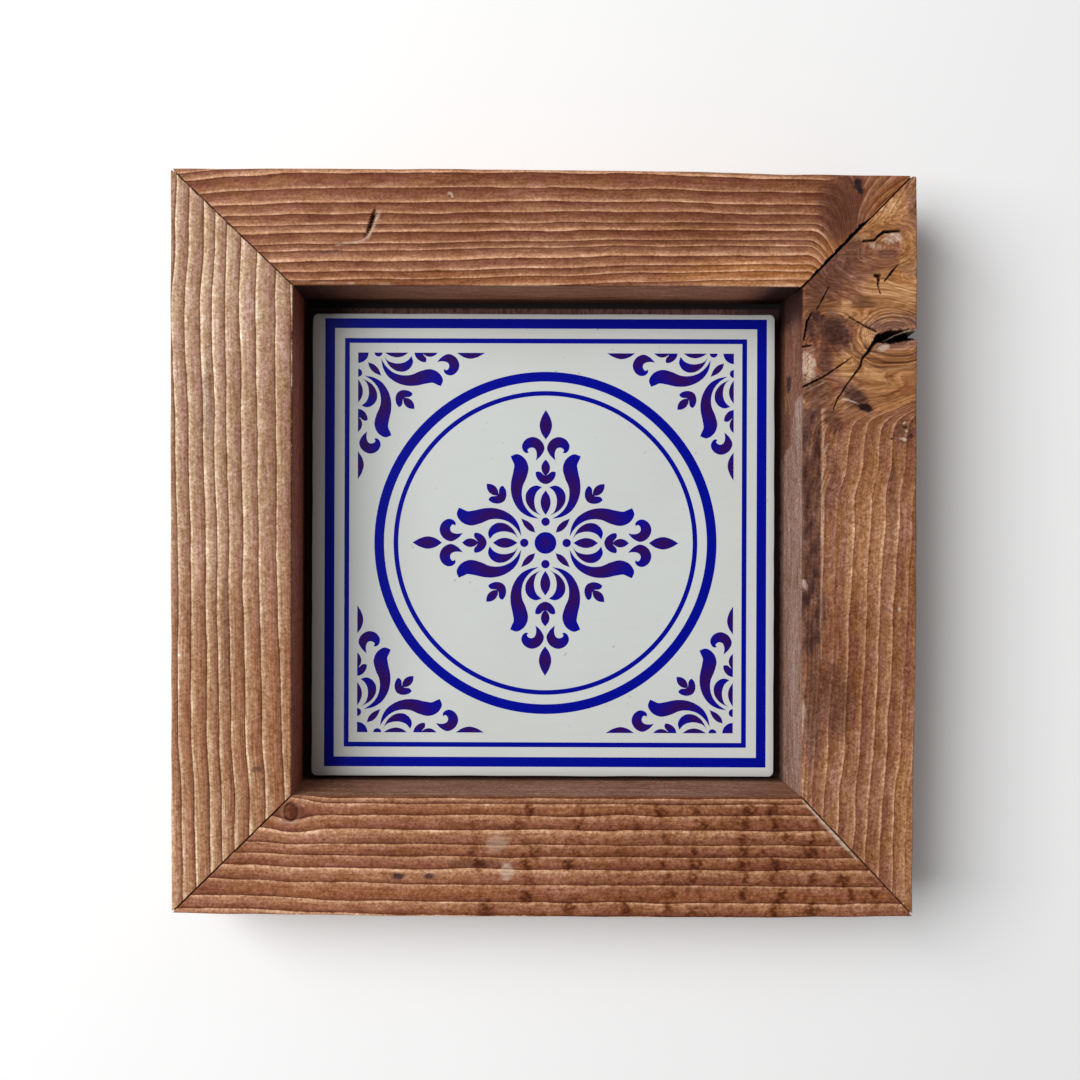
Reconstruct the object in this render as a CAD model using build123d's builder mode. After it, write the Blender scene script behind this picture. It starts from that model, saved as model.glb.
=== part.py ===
"""A square decorated tile framed in four mitred lengths of square pine.

The frame lies on its back. Its origin is the middle of the back face, +Z points out of the
front, +X to the right and +Y to the top of the picture. All sizes are in millimetres.
"""

import os

from build123d import *

# Tile: a standard six inch wall tile, pressed with a cushioned front edge
tile_side = 152.4
tile_thickness = 6.5
tile_corner_radius = 1.5
tile_edge_rounding = 1.2
tile_back_chamfer = 0.4
tile_drop = 1.7

# Frame: planed battens round an opening a little wider than the tile; their faces were
# cleaned up by hand and differ by a few millimetres in width
opening_side = 158.0
rail_depth = 36.0
top_width = 36.2
right_width = 35.3
bottom_width = 37.3
left_width = 37.9
arris_radius = 0.5
corner_easing = 1.4

# Rear rebate and the thin board that sits in it
rebate_width = 8.0
rebate_depth = 3.5
board_thickness = 3.0
board_clearance = 0.5

# Panel pins driven from behind through the board
pin_diameter = 1.2
pin_length = 14.0
pin_point = 1.6
pin_head_diameter = 2.4
pin_head_thickness = 0.4
pins_per_side = 2
pin_spacing = 100.0

# The top right mitre gapes where a splinter tore off the rail: at each share of the mitre's
# length, counted from the opening, the rail is this much short, down to the tear's depth
mitre_tear = [(0.56, 0.1), (0.53, 1.5), (0.25, 1.1), (-0.02, 0.6)]
tear_depth = 14.0
tear_overrun = 1.0

# Knot in the right stile: the void where it fell out, and the shakes that run from it, with
# their places measured from the middle of the opening
void_depth = 9.0
void_taper = 12.0
void_outline = [
    (100.7, 62.2), (102.0, 65.6), (106.7, 66.3), (118.0, 66.7), (118.0, 62.0), (107.3, 61.1),
]
shake_depth = 3.0
shakes_right = {
    0.9: [(101.3, 62.6), (97.4, 57.0), (96.9, 54.1), (92.3, 47.9), (89.3, 43.1)],
    0.6: [(78.5, 48.0), (84.9, 51.0), (90.8, 54.9), (94.3, 57.4)],
    0.5: [(92.7, 69.7), (97.1, 67.7), (101.9, 65.2)],
}
shakes_top = {0.7: [(-52.3, 101.9), (-55.4, 94.7), (-65.6, 90.7)]}

# Wane: a strip of the right stile's inner arris that broke away with the bark
wane_depth = 1.6
wane_width = 3.0
wane_low = 50.4
wane_high = 63.7

opening_half = opening_side / 2
opening_x = (left_width - right_width) / 2
opening_y = (bottom_width - top_width) / 2
rebate_half = opening_half + rebate_width
board_back = rebate_depth - board_thickness
front_plane = Plane(origin=(opening_x, opening_y, rail_depth))


def mitred_rail(side_angle, width, near_width, far_width):
    """One side of the frame, facing away from the opening at side_angle degrees from +X.

    The section with its rear rebate runs the length of the side, and the outline seen from
    the front trims it to its mitres with the sides near_width and far_width wide that it
    meets."""
    outward = Vector(1, 0, 0).rotate(Axis.Z, side_angle)
    along = Vector(0, -1, 0).rotate(Axis.Z, side_angle)
    outer = opening_half + width
    near_end = opening_half + near_width
    far_end = opening_half + far_width
    near_eased = 1 - corner_easing / (width + near_width)
    far_eased = 1 - corner_easing / (width + far_width)
    centre = (opening_x, opening_y, 0)
    with BuildPart() as rail:
        with BuildSketch(Plane(origin=centre, x_dir=outward, z_dir=along)) as section:
            with BuildLine():
                Polyline(
                    (opening_half, rail_depth),
                    (outer, rail_depth),
                    (outer, 0),
                    (rebate_half, 0),
                    (rebate_half, rebate_depth),
                    (opening_half, rebate_depth),
                    close=True,
                )
            make_face()
            front_corners = section.vertices().group_by(Axis.Y)[-1]
            rear_corner = section.vertices().group_by(Axis.Y)[0].sort_by(Axis.X)[-1]
            fillet([*front_corners, rear_corner], arris_radius)
        extrude(amount=opening_half + max(near_width, far_width), both=True)
        with BuildSketch(Plane(origin=centre, x_dir=along, z_dir=(0, 0, 1))):
            with BuildLine():
                Polyline(
                    (corner_easing - near_end, outer),
                    (far_end - corner_easing, outer),
                    (opening_half + far_eased * far_width, opening_half + far_eased * width),
                    (opening_half, opening_half),
                    (-opening_half, opening_half),
                    (-opening_half - near_eased * near_width, opening_half + near_eased * width),
                    close=True,
                )
            make_face()
        extrude(amount=rail_depth, mode=Mode.INTERSECT)
    return rail.part


def on_top_right_mitre(share, gap):
    """The point at that share of the top right mitre from the opening, moved left by gap, and
    measured from the middle of the opening."""
    return (opening_half + share * right_width - gap, opening_half + share * top_width)


def shake_slots(shakes):
    """The narrow slots to cut for drying cracks, one along each path, at its own width."""
    with BuildPart() as slots:
        for width, path in shakes.items():
            with BuildSketch(front_plane):
                with BuildLine():
                    Polyline(*path)
                trace(line_width=width)
            extrude(amount=-shake_depth)
    return slots.part


def panel_pin(x, y):
    """A round wire pin with a flat head, its head against the back of the board."""
    head_back = board_back - pin_head_thickness
    shank_end = board_back + pin_length - pin_point
    with BuildPart() as pin:
        with BuildSketch(Plane.XZ.offset(-y)):
            with BuildLine():
                Polyline(
                    (x, head_back),
                    (x + pin_head_diameter / 2, head_back),
                    (x + pin_head_diameter / 2, board_back),
                    (x + pin_diameter / 2, board_back),
                    (x + pin_diameter / 2, shank_end),
                    (x, shank_end + pin_point),
                    close=True,
                )
            make_face()
        revolve(axis=Axis((x, y, 0), (0, 0, 1)))
    return pin.part


# Two pins to a side, through the board into the ledge of the rebate
pin_line = (opening_half + rebate_half) / 2
pins = []
for side_angle in (0, 90, 180, 270):
    for k in range(pins_per_side):
        offset_along = (k - (pins_per_side - 1) / 2) * pin_spacing
        place = Vector(pin_line, offset_along, 0).rotate(Axis.Z, side_angle)
        pins.append(panel_pin(opening_x + place.X, opening_y + place.Y))

top_blank = mitred_rail(90, top_width, left_width, right_width)
right_blank = mitred_rail(0, right_width, top_width, bottom_width)
bottom_blank = mitred_rail(270, bottom_width, right_width, left_width)
left_blank = mitred_rail(180, left_width, bottom_width, top_width)
top_slots = shake_slots(shakes_top)
right_slots = shake_slots(shakes_right)

with BuildPart() as rail_top:
    add(top_blank)
    add(top_slots, mode=Mode.SUBTRACT)
    with BuildSketch(front_plane):
        with BuildLine():
            Polyline(
                on_top_right_mitre(mitre_tear[-1][0], -tear_overrun),
                on_top_right_mitre(mitre_tear[0][0], -tear_overrun),
                *(on_top_right_mitre(share, gap) for share, gap in mitre_tear),
                close=True,
            )
        make_face()
    extrude(amount=-tear_depth, mode=Mode.SUBTRACT)
    for pin in pins:
        add(pin, mode=Mode.SUBTRACT)

with BuildPart() as rail_bottom:
    add(bottom_blank)
    for pin in pins:
        add(pin, mode=Mode.SUBTRACT)

with BuildPart() as stile_left:
    add(left_blank)
    for pin in pins:
        add(pin, mode=Mode.SUBTRACT)

with BuildPart() as stile_right:
    add(right_blank)
    add(right_slots, mode=Mode.SUBTRACT)
    with BuildSketch(front_plane):
        with BuildLine():
            Polyline(*void_outline, close=True)
        make_face()
    extrude(amount=-void_depth, taper=void_taper, mode=Mode.SUBTRACT)
    with BuildSketch(front_plane):
        with BuildLine():
            low_end = (opening_half, wane_low)
            high_end = (opening_half, wane_high)
            deepest = (opening_half + wane_width, (wane_low + wane_high) / 2)
            ThreePointArc(low_end, deepest, high_end)
            Line(high_end, low_end)
        make_face()
    extrude(amount=-wane_depth, mode=Mode.SUBTRACT)
    for pin in pins:
        add(pin, mode=Mode.SUBTRACT)

# The tile lies on the board, a little low in the opening
with BuildPart() as tile:
    with BuildSketch(Plane.XY.offset(rebate_depth)):
        with Locations((opening_x, opening_y - tile_drop)):
            RectangleRounded(tile_side, tile_side, tile_corner_radius)
    extrude(amount=tile_thickness)
    fillet(tile.faces().sort_by(Axis.Z)[-1].edges(), tile_edge_rounding)
    chamfer(tile.faces().sort_by(Axis.Z)[0].edges(), tile_back_chamfer)

with BuildPart() as backing_board:
    board_side = 2 * (rebate_half - board_clearance)
    with BuildSketch(Plane.XY.offset(board_back)):
        with Locations((opening_x, opening_y)):
            Rectangle(board_side, board_side)
    extrude(amount=board_thickness)
    for pin in pins:
        add(pin, mode=Mode.SUBTRACT)

os.makedirs("parts", exist_ok=True)

rail_top.part.label = "rail_top"
rail_bottom.part.label = "rail_bottom"
stile_left.part.label = "stile_left"
stile_right.part.label = "stile_right"
tile.part.label = "tile"
backing_board.part.label = "backing_board"

export_step(rail_top.part, "parts/rail_top.step")
export_step(rail_bottom.part, "parts/rail_bottom.step")
export_step(stile_left.part, "parts/stile_left.step")
export_step(stile_right.part, "parts/stile_right.step")
export_step(tile.part, "parts/tile.step")
export_step(backing_board.part, "parts/backing_board.step")

for number, pin in enumerate(pins, start=1):
    pin.label = f"panel_pin_{number}"
    export_step(pin, f"parts/{pin.label}.step")
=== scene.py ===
"""A square blue and white wall tile, framed in four mitred lengths of stained pine.

The frame lies on its back on a pale floor and the camera looks down on it. Lengths are in
millimetres until a mesh is made, which takes them to metres.
"""

import math

import bmesh
import bpy
import numpy as np
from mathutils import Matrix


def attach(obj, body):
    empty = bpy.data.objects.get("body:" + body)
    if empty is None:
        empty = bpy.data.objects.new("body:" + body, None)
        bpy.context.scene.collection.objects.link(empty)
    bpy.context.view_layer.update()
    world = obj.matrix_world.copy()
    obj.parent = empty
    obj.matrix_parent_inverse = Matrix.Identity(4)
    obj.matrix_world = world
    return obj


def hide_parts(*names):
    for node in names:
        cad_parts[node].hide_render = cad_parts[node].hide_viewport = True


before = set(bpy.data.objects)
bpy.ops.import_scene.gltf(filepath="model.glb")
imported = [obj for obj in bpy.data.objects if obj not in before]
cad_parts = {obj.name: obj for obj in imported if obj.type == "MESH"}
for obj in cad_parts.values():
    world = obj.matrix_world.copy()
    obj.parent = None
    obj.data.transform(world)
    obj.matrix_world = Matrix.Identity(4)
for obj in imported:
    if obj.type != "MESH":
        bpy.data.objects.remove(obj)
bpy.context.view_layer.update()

# The four sides of the frame are square battens of planed pine, mitred, with a rebate for the
# board along the back inner edge. The brown stain sinks into the soft early wood and leaves the
# hard late wood of each year as a pale line, so every batten shows its rings.
opening_centre = np.array([1.3, 0.55])
opening_half = 79.0
batten_depth = 36.0
batten_widths = {"top": 36.2, "right": 35.3, "bottom": 37.3, "left": 37.9}
rebate_width = 8.0
rebate_depth = 3.5
arris_radius = 0.5
corner_radius = 0.9
sides = ["top", "right", "bottom", "left"]
side_angles = {"top": 90, "right": 0, "bottom": 270, "left": 180}
planed_off = {
    "top": [(-116, 0.2), (-80, 0), (-20, 0.1), (20, 0.3), (50, 0.7), (75, 1.3), (116, 1.6)],
    "right": [(-116, 0.2), (-60, 0), (20, 0), (50, 0.3), (80, 0.8), (116, 0.9)],
    "bottom": [(-116, 0.6), (-90, 0.2), (-60, 0), (20, 0), (70, 0.3), (116, 0.8)],
    "left": [(-116, 0.9), (-80, 0.8), (-30, 0.5), (20, 0.2), (70, 0), (116, 0)],
}
hairline_gap = 0.34
hairline_depth = 2.5
tear_depth = 14.0
grain_step = 0.36
side_step = 1.6
station_step = 0.75
batten_length = 230
stain_reach = (2.0, 0.8)
deep_wood = 0.78
deep_wood_from = (2.0, 8.0)
wall_from = (0.4, 1.4)
wall_foot_shade = (13.0, 9.5)
smooth_up_to = 38


def ripples(points, size, seed):
    """A smooth random value between about -1 and 1 at each point: the sum of twelve waves of
    about the given length, in directions and phases drawn from the seed."""
    draw = np.random.default_rng(seed)
    waves = draw.normal(size=(12, points.shape[-1]))
    waves /= np.linalg.norm(waves, axis=1, keepdims=True) * size * draw.uniform(0.6, 1.6, (12, 1))
    phases = draw.uniform(0, 2 * np.pi, 12)
    return np.sin(2 * np.pi * points @ waves.T + phases).sum(axis=-1) / 3.5


def smoothstep(low, high, x):
    """0 below low, 1 above high, and 3q^2 - 2q^3 of the share q between."""
    q = np.clip((x - low) / (high - low), 0, 1)
    return q * q * (3 - 2 * q)


def lesser(a, b, blend):
    """The lesser of two heights, with the crossing rounded off over the blend length."""
    return 0.5 * (a + b - np.sqrt((a - b) ** 2 + blend**2))


def batten_section(width, face_step):
    """The closed outline of a batten's section, as distance out from the opening and height.

    It runs out over the front face, down the outer side, in along the back, round the rebate
    and up the inner wall, with quarter circles at three of the long edges."""
    r = arris_radius
    turn = np.linspace(0, np.pi / 2, 7)[1:-1]
    face = np.linspace(r, width - r, round(width / face_step) + 1)
    side = np.linspace(batten_depth - r, r, round(batten_depth / side_step) + 1)
    back = np.linspace(width - r, rebate_width, 10)
    wall = np.linspace(rebate_depth, batten_depth - r, round(batten_depth / side_step) + 1)
    out = [
        face, width - r + r * np.sin(turn), np.full(len(side), width),
        width - r + r * np.cos(turn), back, [rebate_width, rebate_width / 2, 0],
        np.zeros(len(wall) - 1), r - r * np.cos(turn),
    ]
    up = [
        np.full(len(face), batten_depth), batten_depth - r + r * np.cos(turn), side,
        r - r * np.sin(turn), np.zeros(10), [rebate_depth] * 3,
        wall[1:], batten_depth - r + r * np.sin(turn),
    ]
    return np.concatenate(out), np.concatenate(up)


def crack_hollow(x, y, crack):
    """How far each point is outside a crack, in mm, negative inside it. The crack is a chain of
    (x, y, half width), and its half width runs evenly from each point to the next."""
    nearest = np.full(x.shape, 1e3)
    for (ax, ay, aw), (bx, by, bw) in zip(crack[:-1], crack[1:]):
        dx, dy = bx - ax, by - ay
        along = np.clip(((x - ax) * dx + (y - ay) * dy) / (dx * dx + dy * dy), 0, 1)
        away = np.hypot(x - ax - along * dx, y - ay - along * dy)
        nearest = np.minimum(nearest, away - aw - along * (bw - aw))
    return nearest


def patches(x, y, spots, soft=0.35):
    """The strongest of some oval patches at each point, whose edges are ragged and fade over
    the soft share of their size. A patch is (x, y, half length, half width, turn in degrees,
    strength)."""
    points = np.stack([x, y], -1)
    ragged = 0.15 * ripples(points, 2.6, 5) + 0.04 * ripples(points, 0.9, 6)
    value = np.zeros(x.shape)
    for cx, cy, length, breadth, turn, strength in spots:
        c, s = math.cos(math.radians(turn)), math.sin(math.radians(turn))
        p = ((x - cx) * c + (y - cy) * s) / length
        q = ((y - cy) * c - (x - cx) * s) / breadth
        away = np.sqrt(p * p + q * q) + ragged
        value = np.maximum(value, strength * smoothstep(1 + soft, 1 - soft, away))
    return value


def toned(x, y, spots):
    """How much lighter or darker the wood is at each point: the product of broad soft ovals,
    each (x, y, half length, half width, turn, factor)."""
    value = np.ones(x.shape)
    for *oval, factor in spots:
        value *= 1 + (factor - 1) * patches(x, y, [(*oval, 1.0)], 0.6)
    return value


def outer_edge(side, u):
    """How far the hand-planed outer side of a batten stands from the middle of the opening, at
    the distance u along it: its full width, less a taper and a slight unevenness."""
    at, taken = np.array(planed_off[side]).T
    uneven = 0.1 * (1 + ripples(np.stack([u, 0 * u + side_angles[side]], -1), 30, 7))
    return opening_half + batten_widths[side] - np.interp(u, at, taken) - np.maximum(uneven, 0)


def closed_piece(name, points, faces, layers, sharp_edge=None, merge=None):
    """A piece with the given corners, in mm, and faces, which are turned to point outwards.
    layers gives the values kept at the corners, by name: their kind, field and array. With
    sharp_edge the piece is smooth but for edges that turn by more degrees than that. With
    merge, corners nearer than that many metres become one."""
    mesh = bpy.data.meshes.new(name)
    mesh.from_pydata(points.reshape(-1, 3) * 0.001, [], faces)
    for layer, (kind, field, values) in layers.items():
        mesh.attributes.new(layer, kind, "POINT").data.foreach_set(field, values.ravel())
    if sharp_edge is not None:
        mesh.polygons.foreach_set("use_smooth", np.ones(len(faces), bool))
    grown = bmesh.new()
    grown.from_mesh(mesh)
    if merge is not None:
        bmesh.ops.remove_doubles(grown, verts=grown.verts, dist=merge)
    bmesh.ops.recalc_face_normals(grown, faces=grown.faces)
    grown.to_mesh(mesh)
    grown.free()
    if sharp_edge is not None:
        mesh.set_sharp_from_angle(angle=math.radians(sharp_edge))
    piece = bpy.data.objects.new(name, mesh)
    bpy.context.scene.collection.objects.link(piece)
    return piece


def pine_batten(name, side, stations, face_step, grain, marks, wall, far_gap=None):
    """One batten: its section carried along from mitre to mitre.

    stations gives the shares of the length at which the section is placed. grain(u, v, z)
    gives the height across the year rings in mm, the ring count, the width of a ring and how
    faint the rings are. marks(x, y), from the middle of the opening, gives the hollows, the
    stains and the broad shading, all of which fade out below the face. wall(u, z) gives how
    much pale dust and painted sheen lies on the inner wall, and how dark it is painted, most
    of it painted shade towards its foot and corners. The foot of each inner wall is also
    painted nearly black, as the shade in the narrow gap beside the tile. The far mitre stands
    open by far_gap(share)."""
    place = sides.index(side)
    near_side, far_side = sides[place - 1], sides[(place + 1) % 4]
    width = batten_widths[side]
    station = np.concatenate([[0, 0], stations, [1, 1]])[:, None]
    near_off = np.full(station.shape, hairline_gap)
    near_off[:2, 0] = 0, hairline_gap - 0.02
    far_off = np.ones(station.shape)
    far_off[-2:, 0] = 0.95, 0

    def gap_at(share):
        if far_gap is not None:
            return far_gap(share)
        waver = ripples(np.stack([share * width, 0 * share + side_angles[side]], -1), 3, 15)
        return hairline_gap * np.clip(1.1 + 0.35 * waver, 0.5, 1.9)

    def lengthways(share):
        """The distance along the batten of each station, where its mitres leave room, short of
        its neighbours' planed sides."""
        sideways = opening_half + share * width
        near_end = opening_half + share * batten_widths[near_side]
        near_end = np.minimum(near_end, outer_edge(near_side, sideways))
        far_end = opening_half + share * batten_widths[far_side]
        far_end = np.minimum(far_end, outer_edge(far_side, -sideways))
        low, high = near_off - near_end, far_end - gap_at(share) * far_off
        return low + station * (high - low)

    v, z = batten_section(width, face_step)
    v, z = np.tile(v, (len(station), 1)), np.tile(z, (len(station), 1))
    taken = opening_half + width - outer_edge(side, lengthways(v / width))
    v = v - taken * smoothstep(width - 8, width - 1, v)
    u = lengthways(v / width)
    z[:2] = np.minimum(z[:2], batten_depth - hairline_depth)
    floor = np.where(gap_at(v / width) > 2 * hairline_gap, tear_depth, hairline_depth)
    z[-2:] = np.minimum(z[-2:], batten_depth - floor[-2:])
    sideways = opening_half + v
    for sign, neighbour in ((-1, near_side), (1, far_side)):
        past = np.stack([
            sign * u - outer_edge(neighbour, -sign * sideways), sideways - outer_edge(side, u)
        ]) + corner_radius
        reach = np.maximum(np.hypot(*past), corner_radius)
        pull = (1 - corner_radius / reach) * (past.min(axis=0) > 0)
        u, sideways = u - sign * past[0] * pull, sideways - past[1] * pull

    turn = math.radians(side_angles[side])
    x = math.cos(turn) * sideways + math.sin(turn) * u
    y = math.sin(turn) * sideways - math.cos(turn) * u
    sunk, tints, shade = marks(x, y)
    tints = tints * smoothstep(*stain_reach, batten_depth - z)[..., None]
    shade = np.maximum(shade, deep_wood * smoothstep(*deep_wood_from, batten_depth - z))
    z = np.minimum(z, batten_depth - sunk)
    rings_mm, ring, year_width, faint = grain(u, v, z)
    on_wall = smoothstep(*wall_from, batten_depth - z) * (v < 0.05)
    dust_and_sheen, dark = wall(u, z)
    faint = np.maximum(faint, 0.75 * on_wall)
    # On the inner wall the dark mark is mostly painted shade towards the foot and corners, and the
    # hollow mark paints near-black shade along the foot, in the gap beside the tile.
    tints[..., 1] = np.maximum(tints[..., 1], dark * on_wall)
    tints[..., 0] = np.maximum(tints[..., 0], 0.65 * smoothstep(*wall_foot_shade, z) * on_wall)
    x, y = x + opening_centre[0], y + opening_centre[1]

    rows, cols = x.shape
    places = np.arange(rows * cols).reshape(rows, cols)
    ahead = np.roll(places, -1, axis=1)
    quads = np.stack([places[:-1], places[1:], ahead[1:], ahead[:-1]], -1).reshape(-1, 4)
    faces = quads.tolist() + [places[0].tolist(), places[-1][::-1].tolist()]
    tone = np.stack([year_width / 10, faint, dust_and_sheen * on_wall, shade], -1)
    layers = {
        "ring": ("FLOAT", "value", ring),
        "fibre": ("FLOAT_VECTOR", "vector", np.stack([rings_mm, u, z], -1)),
        "marks": ("FLOAT_COLOR", "color", tints),
        "tone": ("FLOAT_COLOR", "color", tone),
    }
    return closed_piece(name, np.stack([x, y, z], -1), faces, layers, smooth_up_to)


def ring_count(height, lines, spacing_before, spacing_beyond):
    """The number of year rings passed at each height and the width of a ring there. The count
    is whole on each line of the list, evenly shared between two lines, and goes on before and
    beyond the list at the given spacings."""
    more = np.arange(1, 60)
    all_lines = np.concatenate([
        lines[0] - spacing_before * more[::-1], lines, lines[-1] + spacing_beyond * more,
    ])
    middles = (all_lines[1:] + all_lines[:-1]) / 2
    count = np.interp(height, all_lines, np.arange(len(all_lines)))
    return count, np.interp(height, middles, np.diff(all_lines))


def drifted(u, v, width, drift):
    """v less the sideways drift of the rings along the batten. drift lists (u, drift at the
    opening, drift at the outer edge), joined by smooth steps."""
    at, inner, outer = np.array(drift).T
    k = np.clip(np.searchsorted(at, u) - 1, 0, len(at) - 2)
    q = smoothstep(0, 1, (u - at[k]) / (at[k + 1] - at[k]))
    share = np.clip(v / width, 0, 1)
    low = inner[k] + (inner[k + 1] - inner[k]) * q
    high = outer[k] + (outer[k + 1] - outer[k]) * q
    return v - low * (1 - share) - high * share


def linear(red, green, blue):
    """An sRGB colour out of 255 as the linear values that a shader takes."""
    c = np.array([red, green, blue]) / 255
    return (*np.where(c <= 0.04045, c / 12.92, ((c + 0.055) / 1.055) ** 2.4).tolist(), 1.0)


def new_material(name):
    """A new material, its node tree and its Principled shader."""
    material = bpy.data.materials.new(name)
    material.use_nodes = True
    return material, material.node_tree, material.node_tree.nodes["Principled BSDF"]


def add_node(tree, kind, **settings):
    """A node of that kind in the tree, with its own settings in props and the rest for its
    inputs, by name or by i and a number: an output is linked to the input, anything else is
    the input's value."""
    made = tree.nodes.new(kind)
    for key, value in settings.pop("props", {}).items():
        setattr(made, key, value)
    for key, value in settings.items():
        numbered = key[0] == "i" and key[1:].isdigit()
        socket = made.inputs[int(key[1:]) if numbered else key.replace("_", " ")]
        if isinstance(value, bpy.types.NodeSocket):
            tree.links.new(value, socket)
        else:
            socket.default_value = value
    return made


def maths(tree, operation, a, b=0.0, c=0.0, clamp=False):
    """The output of a Math node."""
    props = {"operation": operation, "use_clamp": clamp}
    return add_node(tree, "ShaderNodeMath", props=props, i0=a, i1=b, i2=c).outputs[0]


def ramp(tree, value, stops):
    """The output of a colour ramp with grey stops of (place, grey)."""
    made = add_node(tree, "ShaderNodeValToRGB", Fac=value)
    bar = made.color_ramp.elements
    while len(bar) < len(stops):
        bar.new(0.5)
    for element, (place, grey) in zip(bar, stops):
        element.position = place
        element.color = (grey, grey, grey, 1)
    return made.outputs[0]


def mixed(tree, share, a, b, blend="MIX"):
    """The colour output of a Mix node."""
    props = {"data_type": "RGBA", "blend_type": blend}
    return add_node(tree, "ShaderNodeMix", props=props, i0=share, i6=a, i7=b).outputs[2]


def noise(tree, vector, scale, detail, roughness):
    """The Fac output of a noise texture."""
    return add_node(
        tree, "ShaderNodeTexNoise", Vector=vector, Scale=scale, Detail=detail, Roughness=roughness
    ).outputs[0]


def stretched(tree, vector, factors):
    """The vector with its parts multiplied by the factors."""
    return add_node(
        tree, "ShaderNodeVectorMath", props={"operation": "MULTIPLY"}, i0=vector, i1=factors
    ).outputs[0]


def socket_group(name, inputs, outputs):
    """An empty shader node group with the named sockets, and its two end nodes. Fibre is a
    vector and the rest are plain values."""
    group = bpy.data.node_groups.new(name, "ShaderNodeTree")
    for label in inputs:
        kind = "NodeSocketVector" if label == "Fibre" else "NodeSocketFloat"
        group.interface.new_socket(label, in_out="INPUT", socket_type=kind)
    for label in outputs:
        group.interface.new_socket(label, in_out="OUTPUT", socket_type="NodeSocketFloat")
    return group, group.nodes.new("NodeGroupInput"), group.nodes.new("NodeGroupOutput")


pine_grain, given, result = socket_group(
    "pine grain",
    ["Ring", "Year width", "Line width", "Fibre"],
    ["Late wood", "Pore line", "Streaks", "Speckle", "Blotch", "Mottle", "Tint", "Cloud", "Height"],
)
fibre_socket = given.outputs["Fibre"]
unevenness = {
    "Streaks": ((1.9, 0.07, 0.25), 4.0, 0.6),
    "Speckle": ((1.4, 1.2, 1.4), 3.0, 0.7),
    "Blotch": ((0.5, 0.6, 0.5), 3.0, 0.65),
    "Mottle": ((0.8, 0.13, 0.3), 4.0, 0.65),
    "Tint": ((0.42, 0.09, 0.17), 3.0, 0.6),
    "Cloud": ((0.09, 0.03, 0.07), 3.0, 0.55),
}
for label, (per_mm, detail, roughness) in unevenness.items():
    along_fibre = stretched(pine_grain, fibre_socket, per_mm)
    unevenness[label] = noise(pine_grain, along_fibre, 1.0, detail, roughness)
wander = maths(pine_grain, "MULTIPLY_ADD", unevenness["Streaks"], 0.08, given.outputs["Ring"])
wander = maths(pine_grain, "MULTIPLY_ADD", unevenness["Mottle"], 0.12, wander)
wander = maths(pine_grain, "SUBTRACT", wander, 0.1)
year = maths(pine_grain, "FLOOR", wander)
one_value = {"noise_dimensions": "1D"}
varies = add_node(pine_grain, "ShaderNodeTexWhiteNoise", props=one_value, W=year).outputs[0]
year_mm = maths(pine_grain, "MULTIPLY", given.outputs["Year width"], 10.0)
past_line = maths(pine_grain, "MULTIPLY", maths(pine_grain, "FRACT", wander), year_mm)
before_line = maths(pine_grain, "SUBTRACT", year_mm, past_line)
line_mm = maths(pine_grain, "MULTIPLY_ADD", varies, 0.7, 0.65)
line_mm = maths(pine_grain, "MULTIPLY", line_mm, given.outputs["Line width"])
past_line = maths(pine_grain, "DIVIDE", past_line, line_mm)
late = ramp(
    pine_grain, maths(pine_grain, "DIVIDE", past_line, 5.0, clamp=True),
    [(0.0, 0.45), (0.03, 1.0), (0.13, 0.92), (0.21, 0.5), (0.4, 0.22), (1.0, 0.0)],
)
late = maths(pine_grain, "MULTIPLY", late, maths(pine_grain, "MULTIPLY_ADD", varies, 0.3, 0.8))
pores = ramp(
    pine_grain, maths(pine_grain, "DIVIDE", before_line, 2.0, clamp=True),
    [(0.0, 1.0), (0.12, 0.8), (0.32, 0.34), (1.0, 0.0)],
)
height = maths(pine_grain, "MULTIPLY", late, 0.55)
height = maths(pine_grain, "MULTIPLY_ADD", unevenness["Streaks"], 0.4, height)
height = maths(pine_grain, "MULTIPLY_ADD", unevenness["Speckle"], 0.7, height)
for socket, value in zip(result.inputs, (late, pores, *unevenness.values(), height)):
    pine_grain.links.new(value, socket)


def steeper(tree, value, gain):
    """A noise value with its swing about one half made gain times as wide, kept within 0 to 1."""
    return maths(tree, "MULTIPLY_ADD", value, gain, 0.5 - gain / 2, clamp=True)


# The stain colours also paint the shade towards the foot and corners of the inner walls. The
# near-black colour for hollows is painted shade: it goes into the voids, cracks and nick and along
# the foot of each inner wall, and it also darkens the rim of the small knot.
thin_stain_and_shade = linear(98, 63, 55)
deep_stain_and_shade = linear(44, 26, 24)
brown_stain_and_shade = linear(54, 31, 25)
torn_fibres = linear(208, 184, 164)
hollow_shade = linear(14, 7, 7)
swing_powers = (0.75, 1.07, 1.4)


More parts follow.
